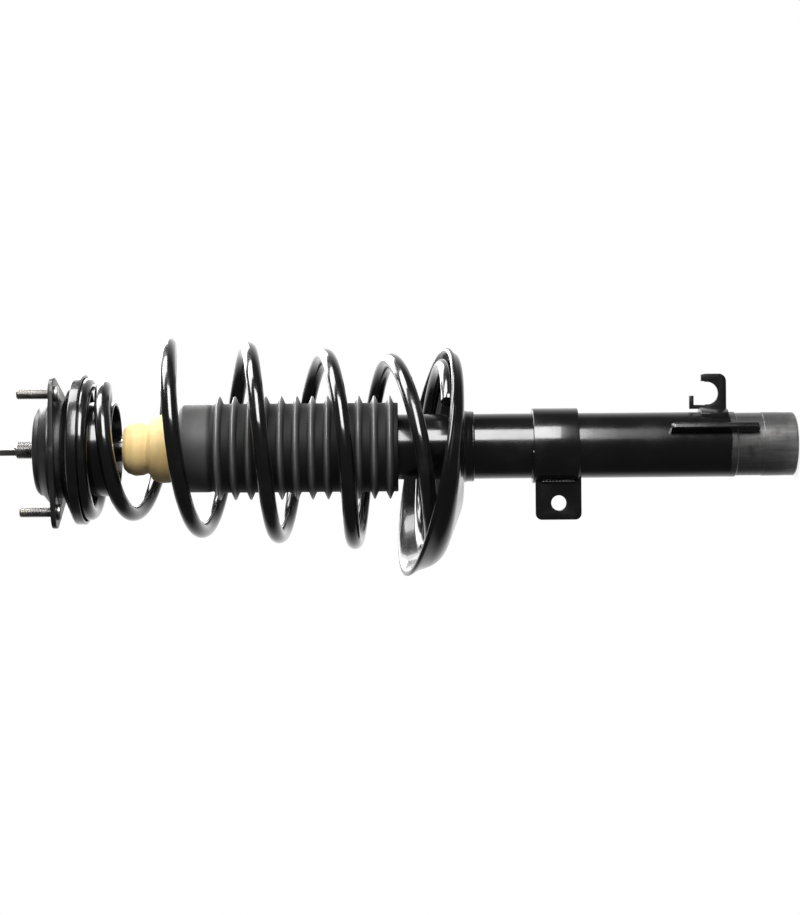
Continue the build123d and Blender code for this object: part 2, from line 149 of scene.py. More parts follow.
def rounded(points, steps=5):
    """Closed outline of (r, z, corner radius) points with its corners turned into arcs."""
    out = []
    count = len(points)
    for i, corner in enumerate(points):
        here = Vector(corner[:2])
        radius = corner[2] if len(corner) > 2 else 0.0
        before = Vector(points[i - 1][:2]) - here
        after = Vector(points[(i + 1) % count][:2]) - here
        if radius <= 0 or before.length < 1e-6 or after.length < 1e-6:
            out.append(tuple(here))
            continue
        turn = before.angle(after)
        reach = min(radius / math.tan(turn / 2), 0.49 * before.length, 0.49 * after.length)
        start = here + before.normalized() * reach
        end = here + after.normalized() * reach
        for k in range(steps + 1):
            t = k / steps
            out.append(tuple((1 - t) ** 2 * start + 2 * t * (1 - t) * here + t * t * end))
    return out


def grid_faces(rings, around, closed_rings=True):
    """Quads between rings of vertices; the last ring joins the first when closed_rings is set."""
    faces = []
    last = rings if closed_rings else rings - 1
    for i in range(last):
        j = (i + 1) % rings
        for k in range(around):
            m = (k + 1) % around
            faces.append((i * around + k, i * around + m, j * around + m, j * around + k))
    return faces


def lathe_mesh(outline, segments=96):
    """Vertices and faces of a closed outline turned about Z."""
    verts = []
    for r, z in outline:
        for k in range(segments):
            a = 2 * math.pi * k / segments
            verts.append((r * math.cos(a), r * math.sin(a), z))
    return verts, grid_faces(len(outline), segments)


def lathe(name, points, body, material, replaced=(), segments=96, steps=5, sharp=38.0):
    verts, faces = lathe_mesh(rounded(points, steps), segments)
    return piece(name, verts, faces, body, material, replaced, sharp)


def tube_mesh(centres, radii, around):
    """Round bar along a list of centres, with a radius for each and flat ends."""
    count = len(centres)
    verts = []
    side = None
    for i, centre in enumerate(centres):
        here = Vector(centre)
        ahead = Vector(centres[min(i + 1, count - 1)]) - Vector(centres[max(i - 1, 0)])
        ahead.normalize()
        if side is None:
            side = ahead.orthogonal().normalized()
        side = (side - ahead * side.dot(ahead)).normalized()
        other = ahead.cross(side)
        for k in range(around):
            a = 2 * math.pi * k / around
            verts.append(tuple(here + (side * math.cos(a) + other * math.sin(a)) * radii[i]))
    faces = grid_faces(count, around, closed_rings=False)
    faces.append(tuple(range(around)))
    faces.append(tuple((count - 1) * around + k for k in range(around)))
    return verts, faces


def merged(parts):
    """Several (vertices, faces) pairs as one."""
    verts, faces = [], []
    for v, f in parts:
        base = len(verts)
        verts += list(v)
        faces += [tuple(i + base for i in face) for face in f]
    return verts, faces


def moved(part, x, y, z=0.0):
    verts, faces = part
    return [(a + x, b + y, c + z) for a, b, c in verts], faces


def bead(path, radius=2.2, pitch=2.6, around=10, steps_per_pitch=6):
    """Weld bead: a rippled bar laid along a path of close points."""
    lengths = [0.0]
    for a, b in zip(path, path[1:]):
        lengths.append(lengths[-1] + (Vector(b) - Vector(a)).length)
    count = max(8, int(lengths[-1] / pitch * steps_per_pitch))
    centres, radii = [], []
    for i in range(count + 1):
        s = lengths[-1] * i / count
        j = max(1, next((n for n, v in enumerate(lengths) if v >= s), len(path) - 1))
        t = (s - lengths[j - 1]) / max(1e-9, lengths[j] - lengths[j - 1])
        centres.append(tuple(Vector(path[j - 1]).lerp(Vector(path[j]), t)))
        ripple = (s / pitch) % 1.0
        taper = min(1.0, 0.55 + s / 4.0, 0.55 + (lengths[-1] - s) / 4.0)
        radii.append(radius * taper * (0.86 + 0.2 * ripple * (1.6 - ripple)))
    return tube_mesh(centres, radii, around)


def thread_mesh(r, pitch, low, high, depth, segments=48, per_pitch=8):
    """Threaded bar from low to high with chamfered ends."""
    rings = int((high - low) / pitch * per_pitch)
    verts = []
    for i in range(rings + 1):
        z = low + (high - low) * i / rings
        for k in range(segments):
            a = 2 * math.pi * k / segments
            phase = (z / pitch - k / segments) % 1.0
            wave = min(1.0, max(0.0, abs(phase - 0.5) * 2.6 - 0.15))
            fade = min(1.0, (z - low) / pitch, max(0.0, (high - z) / pitch))
            radius = r - depth * wave * fade
            radius = min(radius, r - 0.9 + (high - z) * 0.9)
            verts.append((radius * math.cos(a), radius * math.sin(a), z))
    faces = grid_faces(rings + 1, segments, closed_rings=False)
    faces.append(tuple(range(segments)))
    faces.append(tuple(rings * segments + k for k in range(segments)))
    return verts, faces


def from_cad(node, body, material, bevel):
    """A CAD node's own shape with its hard edges rounded, as a piece that replaces it."""
    mesh = nodes[node].data.copy()
    bm = bmesh.new()
    bm.from_mesh(mesh)
    bmesh.ops.remove_doubles(bm, verts=bm.verts, dist=1e-6)
    bmesh.ops.dissolve_limit(bm, angle_limit=math.radians(0.5), verts=bm.verts, edges=bm.edges)
    bm.to_mesh(mesh)
    bm.free()
    holder = bpy.data.objects.new(node + "_source", mesh)
    bpy.context.scene.collection.objects.link(holder)
    cut = holder.modifiers.new("edges", "BEVEL")
    cut.width = bevel * MM
    cut.segments = 3
    cut.limit_method = "ANGLE"
    cut.angle_limit = math.radians(32)
    cut.use_clamp_overlap = True
    graph = bpy.context.evaluated_depsgraph_get()
    shaped = bpy.data.meshes.new_from_object(holder.evaluated_get(graph))
    bpy.data.objects.remove(holder)
    return finish_piece(node + "_piece", shaped, body, material, (node,))


def polar(r, degrees):
    a = math.radians(degrees)
    return r * math.cos(a), r * math.sin(a)


def own_weights(obj):
    """Bakes the object's transform into its mesh."""
    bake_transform(obj)


# ---------------------------------------------------------------- materials
class Shader:
    """A Principled material whose nodes are added by short calls."""

    def __init__(self, name, **sockets):
        self.material = bpy.data.materials.new(name)
        self.material.use_nodes = True
        self.tree = self.material.node_tree
        self.bsdf = self.tree.nodes["Principled BSDF"]
        for key, value in sockets.items():
            self.bsdf.inputs[key.replace("_", " ")].default_value = value
        self.place = self.add("ShaderNodeTexCoord").outputs["Object"]

    def add(self, kind, **settings):
        node = self.tree.nodes.new(kind)
        for key, value in settings.items():
            setattr(node, key, value)
        return node

    def link(self, source, target):
        self.tree.links.new(source, target)

    def stretched(self, scale):
        mapping = self.add("ShaderNodeMapping")
        mapping.inputs["Scale"].default_value = scale
        self.link(self.place, mapping.inputs["Vector"])
        return mapping.outputs["Vector"]

    def noise(self, scale, detail=4.0, roughness=0.55, vector=None):
        node = self.add("ShaderNodeTexNoise")
        node.inputs["Scale"].default_value = scale
        node.inputs["Detail"].default_value = detail
        node.inputs["Roughness"].default_value = roughness
        self.link(vector or self.place, node.inputs["Vector"])
        return node.outputs["Fac"]

    def cells(self, scale, vector=None):
        node = self.add("ShaderNodeTexVoronoi")
        node.inputs["Scale"].default_value = scale
        self.link(vector or self.place, node.inputs["Vector"])
        return node.outputs["Distance"]

    def spread(self, value, low, high, to_low=0.0, to_high=1.0):
        node = self.add("ShaderNodeMapRange")
        node.inputs["From Min"].default_value = low
        node.inputs["From Max"].default_value = high
        node.inputs["To Min"].default_value = to_low
        node.inputs["To Max"].default_value = to_high
        self.link(value, node.inputs["Value"])
        return node.outputs["Result"]

    def math(self, kind, a, b):
        node = self.add("ShaderNodeMath", operation=kind)
        for socket, value in zip(node.inputs, (a, b)):
            if isinstance(value, (int, float)):
                socket.default_value = value
            else:
                self.link(value, socket)
        return node.outputs[0]

    def mix(self, share, a, b):
        node = self.add("ShaderNodeMix", data_type="RGBA")
        self.link(share, node.inputs[0])
        for socket, value in ((node.inputs[6], a), (node.inputs[7], b)):
            if isinstance(value, tuple):
                socket.default_value = (*value, 1.0)
            else:
                self.link(value, socket)
        return node.outputs[2]

    def blend(self, share, a, b):
        node = self.add("ShaderNodeMix", data_type="FLOAT")
        self.link(share, node.inputs[0])
        for socket, value in ((node.inputs[2], a), (node.inputs[3], b)):
            if isinstance(value, (int, float)):
                socket.default_value = value
            else:
                self.link(value, socket)
        return node.outputs[0]

    def height(self, kind="z"):
        node = self.add("ShaderNodeSeparateXYZ")
        self.link(self.place, node.inputs[0])
        return node.outputs[kind.upper()]

    def edges(self, low=0.52, high=0.6):
        node = self.add("ShaderNodeNewGeometry")
        return self.spread(node.outputs["Pointiness"], low, high)

    def colour(self, value):
        self.link(value, self.bsdf.inputs["Base Color"])

    def rough(self, value):
        self.link(value, self.bsdf.inputs["Roughness"])

    def metal(self, value):
        self.link(value, self.bsdf.inputs["Metallic"])

    def bump(self, *layers):
        """Bump layers of (height, strength, distance in metres), each on top of the last."""
        last = None
        for value, strength, distance in layers:
            node = self.add("ShaderNodeBump")
            node.inputs["Strength"].default_value = strength
            node.inputs["Distance"].default_value = distance
            self.link(value, node.inputs["Height"])
            if last:
                self.link(last, node.inputs["Normal"])
            last = node.outputs["Normal"]
        self.link(last, self.bsdf.inputs["Normal"])


def black_paint(name="gloss_black", gloss=0.16, coat=0.5):
    """Stove enamel: near-black, orange peel and faint dust."""
    s = Shader(name, Coat_Weight=coat, Coat_Roughness=0.06, Specular_IOR_Level=0.5)
    cloud = s.noise(38.0, 5.0)
    dust = s.spread(cloud, 0.52, 0.78)
    speck = s.spread(s.noise(900.0, 2.0), 0.66, 0.74)
    base = s.mix(dust, (0.0035, 0.0035, 0.0038), (0.009, 0.0088, 0.0085))
    base = s.mix(s.math("MULTIPLY", speck, dust), base, (0.05, 0.048, 0.045))
    s.colour(base)
    s.rough(s.spread(cloud, 0.3, 0.75, gloss, gloss + 0.16))
    s.bump((s.noise(620.0, 2.0), 0.10, 0.0003), (s.noise(70.0, 3.0), 0.10, 0.0008))
    return s.material


def tube_paint():
    """Black enamel that stops in a slightly ragged line above the bare clamp land."""
    s = Shader("tube_paint", Coat_Weight=0.35, Coat_Roughness=0.07)
    cloud = s.noise(30.0, 5.0)
    dust = s.spread(cloud, 0.5, 0.8)
    edge = s.math("ADD", s.height(), s.math("MULTIPLY", s.noise(140.0, 3.0), 0.0022))
    painted = s.spread(edge, 0.0518, 0.0530)
    streaks = s.noise(1.0, 4.0, vector=s.stretched((260.0, 260.0, 24.0)))
    rings = s.noise(1.0, 3.0, vector=s.stretched((6.0, 6.0, 900.0)))
    steel = s.mix(s.spread(streaks, 0.3, 0.7), (0.070, 0.070, 0.072), (0.135, 0.134, 0.132))
    steel = s.mix(s.spread(s.noise(55.0, 4.0), 0.58, 0.74), steel, (0.055, 0.050, 0.046))
    paint = s.mix(dust, (0.0035, 0.0035, 0.0038), (0.009, 0.0086, 0.0082))
    s.colour(s.mix(painted, steel, paint))
    s.rough(s.blend(painted, s.spread(rings, 0.3, 0.7, 0.34, 0.5), s.spread(cloud, 0.3, 0.75, 0.15, 0.3)))
    s.metal(s.blend(painted, 0.75, 0.0))
    s.bump((rings, 0.12, 0.0002), (s.noise(620.0, 2.0), 0.08, 0.0003))
    return s.material


def satin_black():
    """Thin electro-coat on pressed steel."""
    s = Shader("satin_black", Coat_Weight=0.15, Coat_Roughness=0.2)
    cloud = s.noise(45.0, 5.0)
    base = s.mix(s.spread(cloud, 0.45, 0.8), (0.009, 0.009, 0.0095), (0.024, 0.023, 0.022))
    s.colour(s.mix(s.edges(), base, (0.05, 0.049, 0.047)))
    s.rough(s.spread(cloud, 0.3, 0.75, 0.28, 0.46))
    s.bump((s.noise(1100.0, 3.0), 0.14, 0.0002), (s.noise(60.0, 3.0), 0.12, 0.0008))
    return s.material


def pad_rubber():
    """Moulded rubber with bloom on its edges and a fine grain."""
    tone, dusty = 0.010, 0.04
    s = Shader("pad_rubber", Sheen_Weight=0.12, Sheen_Roughness=0.5, Specular_IOR_Level=0.35)
    cloud = s.noise(26.0, 6.0, 0.6)
    paler_share = s.math("MULTIPLY", s.edges(0.5, 0.62), s.spread(cloud, 0.3, 0.7))
    base = s.mix(s.spread(cloud, 0.35, 0.75), (tone, tone, tone * 1.02), (tone * 1.7,) * 3)
    s.colour(s.mix(paler_share, base, (dusty, dusty, dusty * 0.97)))
    s.rough(s.spread(s.noise(300.0, 3.0), 0.3, 0.7, 0.46, 0.62))
    s.bump((s.noise(1500.0, 3.0), 0.25, 0.0002), (s.noise(110.0, 3.0), 0.10, 0.0006))
    return s.material


def boot_rubber():
    """Moulded rubber: dark dull valleys, smoother crests painted paler as a painted highlight, a plain collar
    between the two.
    """
    s = Shader("boot_rubber", Sheen_Weight=0.05, Sheen_Roughness=0.5)
    cloud = s.noise(26.0, 6.0, 0.6)
    radius = s.add("ShaderNodeVectorMath", operation="LENGTH")
    s.link(s.stretched((1.0, 1.0, 0.0)), radius.inputs[0])
    crest = s.spread(radius.outputs["Value"], 0.0370, 0.0412)
    crest = s.math("MAXIMUM", crest, s.spread(s.height(), 0.464, 0.467, 0.0, 0.3))
    base = s.mix(s.spread(cloud, 0.35, 0.75), (0.003, 0.003, 0.0031), (0.007, 0.007, 0.0069))
    # Painted highlight: the crests are painted paler grey where the ribs catch the light; the collar takes a
    # little of the same.
    paler_share = s.math("MULTIPLY", crest, s.spread(cloud, 0.25, 0.6, 0.5, 1.0))
    s.colour(s.mix(paler_share, base, (0.13, 0.13, 0.128)))
    s.rough(s.blend(crest, 0.62, 0.34))
    s.link(s.blend(crest, 0.2, 0.6), s.bsdf.inputs["Specular IOR Level"])
    s.bump((s.noise(1500.0, 3.0), 0.25, 0.0002), (s.noise(110.0, 3.0), 0.10, 0.0006))
    return s.material


def foam():
    """Cellular polyurethane: cream skin with pores and darker handling marks."""
    s = Shader("cream_foam", Subsurface_Weight=0.12, Subsurface_Scale=0.004, Sheen_Weight=0.1)
    s.bsdf.inputs["Subsurface Radius"].default_value = (1.0, 0.7, 0.35)
    cloud = s.noise(34.0, 5.0)
    base = s.mix(s.spread(cloud, 0.3, 0.7), (0.58, 0.40, 0.15), (0.70, 0.53, 0.25))
    base = s.mix(s.spread(s.noise(120.0, 4.0), 0.6, 0.8), base, (0.42, 0.29, 0.11))
    pores = s.spread(s.cells(900.0), 0.0, 0.35)
    s.colour(base)
    s.rough(s.spread(cloud, 0.3, 0.7, 0.55, 0.72))
    s.bump((pores, 0.25, 0.0004), (s.noise(260.0, 4.0), 0.2, 0.0006))
    return s.material


def chrome():
    """Ground hard chrome with fine rings of grinding marks."""
    s = Shader("hard_chrome", Metallic=1.0)
    rings = s.noise(1.0, 3.0, vector=s.stretched((8.0, 8.0, 2600.0)))
    s.colour(s.mix(s.spread(s.noise(60.0, 4.0), 0.35, 0.75), (0.72, 0.73, 0.75), (0.86, 0.86, 0.87)))
    s.rough(s.spread(rings, 0.3, 0.7, 0.07, 0.16))
    s.bump((rings, 0.04, 0.0001),)
    return s.material


def zinc():
    """Bright zinc plate with a faint yellow bloom."""
    s = Shader("zinc_plate", Metallic=1.0)
    cloud = s.noise(90.0, 5.0)
    base = s.mix(s.spread(cloud, 0.35, 0.7), (0.26, 0.26, 0.26), (0.46, 0.45, 0.43))
    s.colour(s.mix(s.spread(s.noise(35.0, 3.0), 0.55, 0.75), base, (0.50, 0.47, 0.38)))
    s.rough(s.spread(cloud, 0.3, 0.7, 0.26, 0.44))
    s.bump((s.noise(800.0, 3.0), 0.12, 0.0002),)
    return s.material


def steel(name="raw_steel", low=0.16, high=0.34):
    """Bare steel with turning marks and oil stains."""
    s = Shader(name, Metallic=0.9)
    rings = s.noise(1.0, 4.0, vector=s.stretched((10.0, 10.0, 1200.0)))
    base = s.mix(s.spread(rings, 0.3, 0.7), (low, low, low * 1.02), (high, high, high))
    s.colour(s.mix(s.spread(s.noise(70.0, 5.0), 0.6, 0.78), base, (0.10, 0.08, 0.06)))
    s.rough(s.spread(s.noise(160.0, 4.0), 0.3, 0.7, 0.3, 0.5))
    s.bump((rings, 0.12, 0.0002),)
    return s.material


def plastic():
    """Glass-filled nylon with a faint flow pattern."""
    s = Shader("black_plastic", Specular_IOR_Level=0.45)
    flow = s.noise(1.0, 4.0, vector=s.stretched((50.0, 50.0, 220.0)))
    s.colour(s.mix(s.spread(flow, 0.35, 0.7), (0.012, 0.012, 0.012), (0.028, 0.028, 0.028)))
    s.rough(s.spread(s.noise(420.0, 3.0), 0.3, 0.7, 0.36, 0.52))
    s.bump((s.noise(1300.0, 2.0), 0.15, 0.0002),)
    return s.material


def bronze():
    """Sintered bronze with open grain."""
    s = Shader("sintered_bronze", Metallic=1.0)
    grain = s.cells(1600.0)
    s.colour(s.mix(s.spread(grain, 0.1, 0.6), (0.30, 0.19, 0.08), (0.55, 0.38, 0.17)))
    s.rough(s.spread(s.noise(300.0), 0.3, 0.7, 0.3, 0.5))
    s.bump((grain, 0.2, 0.0002),)
    return s.material


PAINT = black_paint()
COIL_PAINT = black_paint("coil_paint", gloss=0.13, coat=0.7)
TUBE = tube_paint()
SATIN = satin_black()
BOOT = boot_rubber()
PAD = pad_rubber()
FOAM = foam()
CHROME = chrome()
ZINC = zinc()
STEEL = steel()
SPRING_STEEL = steel("spring_steel", 0.32, 0.5)
PLASTIC = plastic()
BRONZE = bronze()
SLOT_MATERIALS = {
    "gloss_black_paint": PAINT, "satin_black_paint": SATIN, "raw_steel": STEEL,
    "spring_steel": SPRING_STEEL, "bronze": BRONZE, "pad_rubber": PAD, "boot_rubber": BOOT,
    "cream_foam": FOAM, "black_plastic": PLASTIC, "zinc_plate": ZINC, "hard_chrome": CHROME,
    "ptfe_band": PLASTIC,
}
for entry in frame["record"]["subparts"]:
    carried = nodes[entry["node"]]
    for material_slot in carried.material_slots:
        material_slot.material = SLOT_MATERIALS[entry["material_slot"]]


# ---------------------------------------------------------------- coil spring
def smooth_step(a, b, c, d, t):
    """Catmull-Rom curve from b to c, with a and d the neighbours."""
    return b + 0.5 * t * (c - a + t * (2 * a - 5 * b + 4 * c - d + t * (3 * (b - c) + d - a)))


def coil_lean(z):
    """Sideways offset of the coil centre at a height."""
    length = COIL_LEAN_TOP_Z - COIL_LEAN_BOTTOM_Z
    u = min(1.0, max(0.0, (z - COIL_LEAN_BOTTOM_Z) / length))
    start, end = COIL_LEAN_SLOPES
    return (COIL_LEAN * (2 * u**3 - 3 * u**2 + 1) + start * length * (u**3 - 2 * u**2 + u)
            + end * length * (u**3 - u**2))


def coil_point(turn):
    """Centre of the wire after so many turns down from the top end."""
    step, t = divmod(turn * COIL_KNOTS_PER_TURN, 1)
    near = COIL_KNOTS[int(step):int(step) + 4]
    z = smooth_step(*[p[0] for p in near], t)
    r = smooth_step(*[p[1] for p in near], t)
    lean = coil_lean(z)
    angle = 2 * math.pi * turn
    x = r * math.cos(angle) + lean * COIL_LEAN_DIR[0]
    y = -r * math.sin(angle) + lean * COIL_LEAN_DIR[1]
    rest = (PAD_TOP_Z + WIRE_R + 0.3 + DISH_SHELF_SLOPE[0] * (x - DISH_SHELF[0])
            + DISH_SHELF_SLOPE[1] * (y - DISH_SHELF[1]))
    z = (z + rest + math.sqrt((z - rest) ** 2 + 4.0)) / 2
    return x, y, z


def build_coil():
    per_turn, around = 72, 28
    count = round(COIL_TURNS * per_turn)
    # small chamfers at both cut ends
    ends = 0.0016
    inner_turns = [COIL_TURNS * i / count for i in range(1, count)]
    turns = [0.0, ends] + inner_turns + [COIL_TURNS - ends, COIL_TURNS]
    centres = [coil_point(t) for t in turns]
    end_r = WIRE_R - 0.7
    radii = [end_r] + [WIRE_R] * (len(turns) - 2) + [end_r]
    verts, faces = tube_mesh(centres, radii, around)
    coil = piece("coil_spring_wire", verts, faces, None, COIL_PAINT,
                 ("coil_spring",))
    # weights by height for each vertex, with the end coils at their seats' values; they are worked out but
    # not used
    last_seated_above, first_seated_below = 1.05, 5.65
    top_z, bottom_z = coil_point(last_seated_above)[2], coil_point(first_seated_below)[2]
    heights = np.array([c[2] for c in centres])
    values = np.clip((heights - bottom_z) / (top_z - bottom_z), 0.0, 1.0)
    values[np.array(turns) < last_seated_above] = 1.0
    values[np.array(turns) > first_seated_below] = 0.0
    spots = np.array(centres) * MM
    mesh = coil.data
    co = np.zeros(len(mesh.vertices) * 3)
    mesh.vertices.foreach_get("co", co)
    co = co.reshape(-1, 3)
    weights = np.zeros(len(co))
    chunk = 2000
    for i in range(0, len(co), chunk):
        gap = ((co[i:i + chunk, None, :] - spots[None]) ** 2).sum(2)
        weights[i:i + chunk] = values[gap.argmin(1)]
    own_weights(coil)


build_coil()


# ---------------------------------------------------------------- dust boot and bump stop
def build_boot():
    bellows_top = 463.0
    ribs = 12
    wall, valley_r, collar_r = 1.5, 35.5, 35.0
    pitch = (bellows_top - BOOT_LOW) / ribs
    outer = []
    for i in range(ribs):
        z = BOOT_LOW + i * pitch
        outer += [(valley_r, z + 0.02 * pitch, 0.9), (valley_r, z + 0.30 * pitch, 0.9),
                  (BOOT_CREST_R - 0.1, z + 0.51 * pitch, 0.8), (BOOT_CREST_R - 0.1, z + 0.59 * pitch, 0.8),
                  (valley_r, z + 0.80 * pitch, 0.9)]
    outer += [(valley_r - 1, bellows_top, 1.4), (collar_r, bellows_top + 3.5, 1.2)]
    inner = [(r - wall, z, c) for r, z, c in reversed(outer)]
    lip_r = 18.6
    top = [(collar_r, BOOT_HIGH - 3.2, 2.4), (collar_r - 3, BOOT_HIGH - 0.1, 2.0),
           (lip_r, BOOT_HIGH - 0.1, 0.5), (lip_r, BOOT_HIGH - 1.5, 0.5),
           (collar_r - 4, BOOT_HIGH - 1.6, 1.0), (collar_r - wall, BOOT_HIGH - 4, 1.0)]
    boot = lathe("dust_boot_bellows", outer + top + inner, None, BOOT,
                 ("dust_boot",), segments=112, steps=4, sharp=75)
    z = np.array([v.co.z / MM for v in boot.data.vertices])
    own_weights(boot)


def build_bump_stop():
    lathe("bump_stop_foam", [
        (10.4, BUMP_LOW, 0.8), (17, BUMP_LOW, 1.5), (20, BUMP_LOW + 2.5, 1.5), (20, 486.4, 0.8),
        (18.1, 486.6, 0.4), (18.1, 489.3, 0.6), (23, 490.8, 2.5), (27.1, 497.5, 4.0), (27.4, 505, 5.0),
        (24.8, 511, 3.0), (19.2, 514.6, 1.4), (20.8, 518.6, 3.0), (21.4, 525, 4.0), (19.2, 531, 3.0),
        (16, BUMP_HIGH - 0.1, 1.2), (10.4, BUMP_HIGH - 0.1, 0.8),
    ], "bump_stop", FOAM, ("bump_stop",), segments=96, steps=6, sharp=70)


build_boot()
build_bump_stop()


# ---------------------------------------------------------------- damper tube and its brackets
def build_tube():
    r_in = TUBE_R - 2.6
    lathe("strut_tube_shell", [
        (r_in, TUBE_BOTTOM, 0.2), (CLAMP_R + TUBE_BOTTOM, TUBE_BOTTOM, 0.3), (CLAMP_R, 0.0, 0.8),
        (CLAMP_R, CLAMP_TOP, 0.1), (CLAMP_R - 0.3, CLAMP_TOP + 0.3, 0.1), (CLAMP_R - 0.3, 46.0, 0.4),
        (TUBE_R, 47.0, 0.6), (TUBE_R, TUBE_TOP - 1.5, 1.0), (TUBE_R - 1.5, TUBE_TOP, 1.0),
        (20.0, TUBE_TOP, 0.4), (20.0, TUBE_TOP - 2.6, 0.4), (r_in, TUBE_TOP - 2.6, 0.2),
    ], "strut_body", TUBE, ("strut_tube",), segments=128, sharp=30)


def circle_path(r, z, start=0.0, end=360.0, count=120):
    return [(*polar(r, start + (end - start) * i / count), z) for i in range(count + 1)]


def build_beads():
    """Weld beads: seat neck, link bracket ends and a straight seam on the link bracket."""
    neck_low = span("lower_spring_seat")[0].z
    band_low, band_high = span("stabiliser_bracket")
    parts = [bead(circle_path(TUBE_R + 0.7, neck_low - 0.2), 1.4)]
    for z in (band_low.z + 2.5, band_high.z):
        parts.append(bead(circle_path(TUBE_R + 1.0, z, 200.0, 262.0, 40), 1.5))
        parts.append(bead(circle_path(TUBE_R + 1.0, z, 20.0, 95.0, 40), 1.5))
    parts.append(bead([(-28.6, -11.0, z) for z in range(174, 204, 2)], 1.5))
    verts, faces = merged(parts)
    piece("weld_beads", verts, faces, "strut_body", PAINT, sharp=80)


build_tube()
build_beads()
from_cad("stabiliser_bracket", "strut_body", PAINT, 0.9)
from_cad("brake_hose_bracket", "strut_body", PAINT, 0.7)
from_cad("locating_blade", "strut_body", PAINT, 0.8)
from_cad("bottom_cap", "strut_body", STEEL, 0.5)


# ---------------------------------------------------------------- lower seat
def seat_skin_point(kind, angle, inset):
    """Point on one skin of the lower seat; kind is base, shelf or rim."""
    if kind == "base":
        centre, slope, r = (0.0, 0.0, DISH_BASE_Z), (0.0, 0.0), DISH_BASE_R
    elif kind == "shelf":
        centre, slope, r = DISH_SHELF, DISH_SHELF_SLOPE, DISH_SHELF_R
    else:
        centre, slope, r = DISH_RIM, DISH_RIM_SLOPE, DISH_RIM_R
    # the circle lies in the tilted plane, so its run along the ground is a little shorter
    ux, uy = polar(1.0, angle)
    rise = slope[0] * ux + slope[1] * uy
    run = (r + inset[0]) / math.hypot(1.0, rise)
    return Vector((centre[0] + run * ux, centre[1] + run * uy, centre[2] + run * rise + inset[1]))


def build_lower_seat():
    wall = 2.8
    segments = 144
    verts = []
    neck_low = span("lower_spring_seat")[0].z
    for k in range(segments):
        angle = 360.0 * k / segments
        around = Vector((*polar(1.0, angle), 0.0))

        def straight(r, z):
            return around * r + Vector((0, 0, z))

        base = seat_skin_point("base", angle, (0, 0))
        shelf = seat_skin_point("shelf", angle, (0, 0))
        rim = seat_skin_point("rim", angle, (-1.9, -1.5))
        base_in = seat_skin_point("base", angle, (-0.5, wall))
        shelf_in = seat_skin_point("shelf", angle, (-2.4, wall))
        rim_in = seat_skin_point("rim", angle, (-wall - 2.3, -2.2))
        rolled = ((-0.7, -3.0), (-0.1, -1.8), (-0.2, -0.5), (-1.1, 0.3), (-2.5, 0.45), (-3.8, 0.0),
                  (-4.8, -1.2))
        lip = [seat_skin_point("rim", angle, inset) for inset in rolled]

        def curve(a, b, c, steps):
            return [(a * (1 - t) + b * t) * (1 - t) + (b * (1 - t) + c * t) * t
                    for t in [i / steps for i in range(steps + 1)]]

        outer = [straight(TUBE_R, neck_low), straight(TUBE_R + 1.6, neck_low), straight(28.2, neck_low + 0.6),
                 straight(28.2, DISH_BASE_Z - 3.2), straight(28.9, DISH_BASE_Z - 1.2),
                 straight(30.6, DISH_BASE_Z)]
        outer += curve(straight(DISH_BASE_R - 7, DISH_BASE_Z), base, base.lerp(shelf, 0.22), 5)
        outer += curve(base.lerp(shelf, 0.74), shelf, shelf.lerp(rim, 0.45), 8)
        outer += [shelf.lerp(rim, 0.75)] + lip
        inner = [rim_in.lerp(shelf_in, 0.15)] + curve(rim_in.lerp(shelf_in, 0.5), shelf_in,
                                                      shelf_in.lerp(base_in, 0.3), 8)
        inner += curve(shelf_in.lerp(base_in, 0.8), base_in, straight(DISH_BASE_R - 7, DISH_BASE_Z + wall), 5)
        inner += [straight(TUBE_R + 2.5, DISH_BASE_Z + wall), straight(TUBE_R, DISH_BASE_Z + wall + 1.0)]
        verts += [tuple(p) for p in outer + inner]
    rings = len(verts) // segments
    turned = [verts[k * rings + i] for i in range(rings) for k in range(segments)]
    piece("lower_spring_seat_dish", turned, grid_faces(rings, segments), "strut_body",
          PAINT, ("lower_spring_seat",), sharp=50)


def build_lower_pad():
    """Rubber ring whose top is hollowed where the last part of the coil lies on it."""
    segments = 144
    r_in, r_out = 61.0, 81.0
    resting = [coil_point(COIL_TURNS - 0.75 + 0.75 * i / 90) for i in range(91)]
    rings = 17
    verts = []
    for i in range(rings):
        across = i / (rings - 1)
        for k in range(segments):
            x, y = polar(r_in + (r_out - r_in) * across, 360.0 * k / segments)
            x, y = x + DISH_SHELF[0], y + DISH_SHELF[1]
            top = (PAD_TOP_Z + 2.6 * min(1.0, 4 * across, 4 * (1 - across))
                   + DISH_SHELF_SLOPE[0] * (x - DISH_SHELF[0]) + DISH_SHELF_SLOPE[1] * (y - DISH_SHELF[1]))
            for cx, cy, cz in resting:
                gap = math.hypot(x - cx, y - cy)
                if gap < WIRE_R + 0.4:
                    top = min(top, cz - math.sqrt((WIRE_R + 0.35) ** 2 - min(gap, WIRE_R) ** 2))
            verts.append((x, y, top))
    for i in reversed(range(rings)):
        across = i / (rings - 1)
        for k in range(segments):
            angle = 360.0 * k / segments
            base_in = seat_skin_point("base", angle, (-0.5, 2.8 + 0.4))
            shelf_in = seat_skin_point("shelf", angle, (-2.4, 2.8 + 0.4))
            x, y = polar(r_in + (r_out - r_in) * across, angle)
            spot = Vector((x + DISH_SHELF[0], y + DISH_SHELF[1], 0))
            run = Vector((shelf_in.x - base_in.x, shelf_in.y - base_in.y))
            t = (Vector((spot.x - base_in.x, spot.y - base_in.y)).dot(run)) / run.length_squared
            verts.append((spot.x, spot.y, base_in.z + (shelf_in.z - base_in.z) * t))
    piece("lower_spring_pad_ring", verts, grid_faces(2 * rings, segments), "strut_body",
          PAD, ("lower_spring_pad",), sharp=50)


build_lower_seat()
build_lower_pad()


